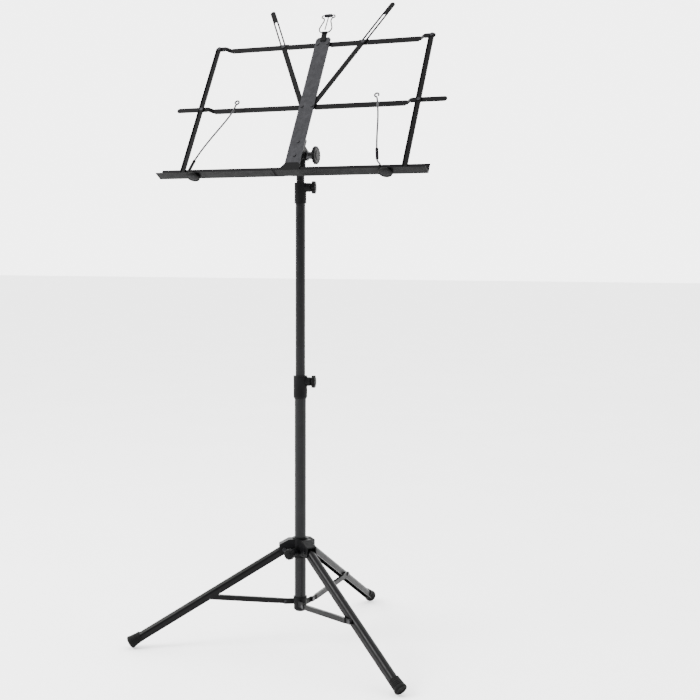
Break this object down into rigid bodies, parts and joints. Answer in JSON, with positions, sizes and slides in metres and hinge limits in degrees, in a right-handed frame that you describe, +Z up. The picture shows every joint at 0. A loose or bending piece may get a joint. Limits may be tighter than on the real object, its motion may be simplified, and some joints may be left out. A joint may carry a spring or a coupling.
{
  "type": "folding_tripod_music_stand",
  "caption": "Folding music stand: tripod base with braced legs, telescoping column with clamp knobs, and a tilting, fold-up desk with ledge, page holders and a top clip.",
  "frame": {"origin": "Middle of the bounding box, on the floor the feet stand on", "axes": "+Z up; +X along the desk width, to the right of a reader who faces the desk; +Y away from the reader"},
  "size_m": [0.527, 0.4769, 1.1259],
  "materials": {
    "black_steel": "gloss black enamel",
    "black_plastic": "moulded black plastic",
    "black_rubber": "soft black rubber",
    "zinc_steel": "zinc-plated steel",
    "black_rivet": "black-plated rivets",
    "bright_wire": "bright nickel-plated wire"
  },
  "bodies": {
    "base": {"lower_tube": "black_steel", "base_collar": "black_plastic", "brace_pins": "zinc_steel", "lower_clamp_collar": "black_plastic"},
    "lower_lock": {"lower_clamp_knob": "black_plastic", "lower_clamp_screw": "zinc_steel"},
    "hub": {"tripod_hub": "black_plastic", "hub_pivot_pins": "zinc_steel"},
    "hub_lock": {"hub_knob": "black_plastic", "hub_screw": "zinc_steel"},
    "leg_1_body": {"leg_1": "black_steel", "foot_1": "black_rubber"},
    "brace_1_body": {"brace_1": "black_steel", "brace_rivet_1": "zinc_steel"},
    "leg_2_body": {"leg_2": "black_steel", "foot_2": "black_rubber"},
    "brace_2_body": {"brace_2": "black_steel", "brace_rivet_2": "zinc_steel"},
    "leg_3_body": {"leg_3": "black_steel", "foot_3": "black_rubber"},
    "brace_3_body": {"brace_3": "black_steel", "brace_rivet_3": "zinc_steel"},
    "middle": {"middle_tube": "black_steel", "middle_tube_plug": "black_plastic", "upper_clamp_collar": "black_plastic"},
    "upper_lock": {"upper_clamp_knob": "black_plastic", "upper_clamp_screw": "zinc_steel"},
    "top_glide": {"top_tube_plug": "black_plastic"},
    "mast": {"top_tube": "black_steel", "tilt_block": "black_plastic"},
    "desk": {"spine": "black_steel", "tilt_bracket": "black_steel", "bracket_rivets": "black_rivet", "tilt_bolt": "zinc_steel", "tilt_washers": "zinc_steel", "spine_rivets": "black_rivet", "clip_tang": "black_steel"},
    "tilt_lock": {"tilt_knob": "black_plastic"},
    "clip": {"clip_wire": "bright_wire"},
    "right_half": {"right_ledge": "black_steel", "right_holder_disc": "black_plastic"},
    "right_arm": {"right_side_arm": "black_steel", "right_arm_rivets": "black_rivet"},
    "right_middle": {"right_middle_bar": "black_steel"},
    "right_top": {"right_top_bar": "black_steel"},
    "right_strut": {"right_diagonal": "black_steel"},
    "right_slider": {"right_slot_rivet": "black_rivet"},
    "right_holder": {"right_holder_wire": "bright_wire", "right_holder_sleeve": "black_rubber"},
    "left_half": {"left_ledge": "black_steel", "left_holder_disc": "black_plastic"},
    "left_arm": {"left_side_arm": "black_steel", "left_arm_rivets": "black_rivet"},
    "left_middle": {"left_middle_bar": "black_steel"},
    "left_top": {"left_top_bar": "black_steel"},
    "left_strut": {"left_diagonal": "black_steel"},
    "left_slider": {"left_slot_rivet": "black_rivet"},
    "left_holder": {"left_holder_wire": "bright_wire", "left_holder_sleeve": "black_rubber"}
  },
  "joints": [
    {"name": "lower_knob_turn", "type": "hinge", "parent": "base", "child": "lower_lock", "pos_m": [0.01, -0.063, 0.4651], "axis": [0.9703, 0.2419, 0], "range_deg": [-180, 180]},
    {"name": "hub_slide", "type": "slide", "parent": "base", "child": "hub", "axis": [0, 0, 1], "range_m": [0, 0.21096]},
    {"name": "hub_knob_turn", "type": "hinge", "parent": "hub", "child": "hub_lock", "pos_m": [0.01, -0.063, 0.17], "axis": [-0.0698, -0.9976, 0], "range_deg": [-180, 180]},
    {"name": "leg_1_fold", "type": "hinge", "parent": "hub", "child": "leg_1_body", "pos_m": [-0.01517, -0.07527, 0.172], "axis": [0.4384, -0.8988, 0], "range_deg": [0, 53.81]},
    {"name": "brace_1_fold", "type": "hinge", "parent": "base", "child": "brace_1_body", "pos_m": [-0.01337, -0.0744, 0.076], "axis": [-0.4384, 0.8988, 0], "range_deg": [0, 79.25]},
    {"name": "leg_2_fold", "type": "hinge", "parent": "hub", "child": "leg_2_body", "pos_m": [0.03321, -0.07866, 0.172], "axis": [0.5592, 0.829, 0], "range_deg": [0, 53.81]},
    {"name": "brace_2_fold", "type": "hinge", "parent": "base", "child": "brace_2_body", "pos_m": [0.03155, -0.07754, 0.076], "axis": [-0.5592, -0.829, 0], "range_deg": [0, 79.25]},
    {"name": "leg_3_fold", "type": "hinge", "parent": "hub", "child": "leg_3_body", "pos_m": [0.01195, -0.03507, 0.172], "axis": [-0.9976, 0.0698, 0], "range_deg": [0, 53.81]},
    {"name": "brace_3_fold", "type": "hinge", "parent": "base", "child": "brace_3_body", "pos_m": [0.01181, -0.03706, 0.076], "axis": [0.9976, -0.0698, 0], "range_deg": [0, 79.25]},
    {"name": "middle_slide", "type": "slide", "parent": "base", "child": "middle", "axis": [0, 0, 1], "range_m": [-0.29, 0.04]},
    {"name": "upper_knob_turn", "type": "hinge", "parent": "middle", "child": "upper_lock", "pos_m": [0.01, -0.063, 0.7976], "axis": [0.9703, 0.2419, 0], "range_deg": [-180, 180]},
    {"name": "top_slide", "type": "slide", "parent": "middle", "child": "top_glide", "axis": [0, 0, 1], "range_m": [-0.008, 0.27]},
    {"name": "mast_swivel", "type": "hinge", "parent": "top_glide", "child": "mast", "pos_m": [0.01, -0.063, 0.478], "axis": [0, 0, 1], "continuous": true},
    {"name": "desk_tilt", "type": "hinge", "parent": "mast", "child": "desk", "pos_m": [0.01, -0.063, 0.8512], "axis": [1, 0, 0], "range_deg": [-49.5, 30.5]},
    {"name": "tilt_knob_turn", "type": "hinge", "parent": "desk", "child": "tilt_lock", "pos_m": [0.01, -0.063, 0.8512], "axis": [1, 0, 0], "range_deg": [-180, 180]},
    {"name": "clip_swing", "type": "hinge", "parent": "desk", "child": "clip", "pos_m": [0.01, 0.04152, 1.07514], "axis": [1, 0, 0], "range_deg": [0, 100], "stiffness_Nm_per_rad": 0.02},
    {"name": "right_fold", "type": "hinge", "parent": "desk", "child": "right_half", "pos_m": [0.0192, -0.10688, 0.82006], "axis": [0, -0.8616, 0.5075], "range_deg": [0, 80]},
    {"name": "right_arm_turn", "type": "hinge", "parent": "right_half", "child": "right_arm", "pos_m": [0.213, -0.10688, 0.82006], "axis": [0, 0.8616, -0.5075], "range_deg": [0, 80.01]},
    {"name": "right_middle_turn", "type": "hinge", "parent": "desk", "child": "right_middle", "pos_m": [0.0192, -0.03729, 0.93819], "axis": [0, -0.8616, 0.5075], "range_deg": [0, 80.01]},
    {"name": "right_top_turn", "type": "hinge", "parent": "desk", "child": "right_top", "pos_m": [0.0192, 0.03122, 1.05451], "axis": [0, -0.8616, 0.5075], "range_deg": [0, 80.01]},
    {"name": "right_strut_turn", "type": "hinge", "parent": "desk", "child": "right_strut", "pos_m": [0.0192, -0.03729, 0.93819], "axis": [0, -0.8616, 0.5075], "range_deg": [0, 23.09]},
    {"name": "right_slot_slide", "type": "slide", "parent": "right_strut", "child": "right_slider", "axis": [0.4446, 0.4546, 0.7718], "range_m": [0, 0.05062]},
    {"name": "right_holder_swing", "type": "hinge", "parent": "right_half", "child": "right_holder", "pos_m": [0.175, -0.11894, 0.82717], "axis": [0, -0.8616, 0.5075], "range_deg": [-90, 70]},
    {"name": "left_fold", "type": "hinge", "parent": "desk", "child": "left_half", "pos_m": [0.0008, -0.10688, 0.82006], "axis": [0, 0.8616, -0.5075], "range_deg": [0, 80]},
    {"name": "left_arm_turn", "type": "hinge", "parent": "left_half", "child": "left_arm", "pos_m": [-0.193, -0.10688, 0.82006], "axis": [0, -0.8616, 0.5075], "range_deg": [0, 80.01]},
    {"name": "left_middle_turn", "type": "hinge", "parent": "desk", "child": "left_middle", "pos_m": [0.0008, -0.03729, 0.93819], "axis": [0, 0.8616, -0.5075], "range_deg": [0, 80.01]},
    {"name": "left_top_turn", "type": "hinge", "parent": "desk", "child": "left_top", "pos_m": [0.0008, 0.03122, 1.05451], "axis": [0, 0.8616, -0.5075], "range_deg": [0, 80.01]},
    {"name": "left_strut_turn", "type": "hinge", "parent": "desk", "child": "left_strut", "pos_m": [0.0008, -0.03729, 0.93819], "axis": [0, 0.8616, -0.5075], "range_deg": [0, 23.09]},
    {"name": "left_slot_slide", "type": "slide", "parent": "left_strut", "child": "left_slider", "axis": [-0.4446, 0.4546, 0.7718], "range_m": [0, 0.05062]},
    {"name": "left_holder_swing", "type": "hinge", "parent": "left_half", "child": "left_holder", "pos_m": [-0.178, -0.11463, 0.82463], "axis": [0, 0.8616, -0.5075], "range_deg": [-90, 60]}
  ],
  "couplings": [
    {"joint": "leg_1_fold", "follows": "hub_slide", "rad_per_m": 4.4511},
    {"joint": "brace_1_fold", "follows": "hub_slide", "rad_per_m": 6.5559},
    {"joint": "leg_2_fold", "follows": "hub_slide", "rad_per_m": 4.4511},
    {"joint": "brace_2_fold", "follows": "hub_slide", "rad_per_m": 6.5559},
    {"joint": "leg_3_fold", "follows": "hub_slide", "rad_per_m": 4.4511},
    {"joint": "brace_3_fold", "follows": "hub_slide", "rad_per_m": 6.5559},
    {"joint": "right_arm_turn", "follows": "right_fold", "ratio": 1},
    {"joint": "right_middle_turn", "follows": "right_fold", "ratio": 1},
    {"joint": "right_top_turn", "follows": "right_fold", "ratio": 1},
    {"joint": "right_strut_turn", "follows": "right_fold", "ratio": 0.28852},
    {"joint": "right_slot_slide", "follows": "right_fold", "m_per_rad": 0.036245},
    {"joint": "left_arm_turn", "follows": "left_fold", "ratio": 1},
    {"joint": "left_middle_turn", "follows": "left_fold", "ratio": 1},
    {"joint": "left_top_turn", "follows": "left_fold", "ratio": 1},
    {"joint": "left_strut_turn", "follows": "left_fold", "ratio": 0.28852},
    {"joint": "left_slot_slide", "follows": "left_fold", "m_per_rad": 0.036245}
  ]
}
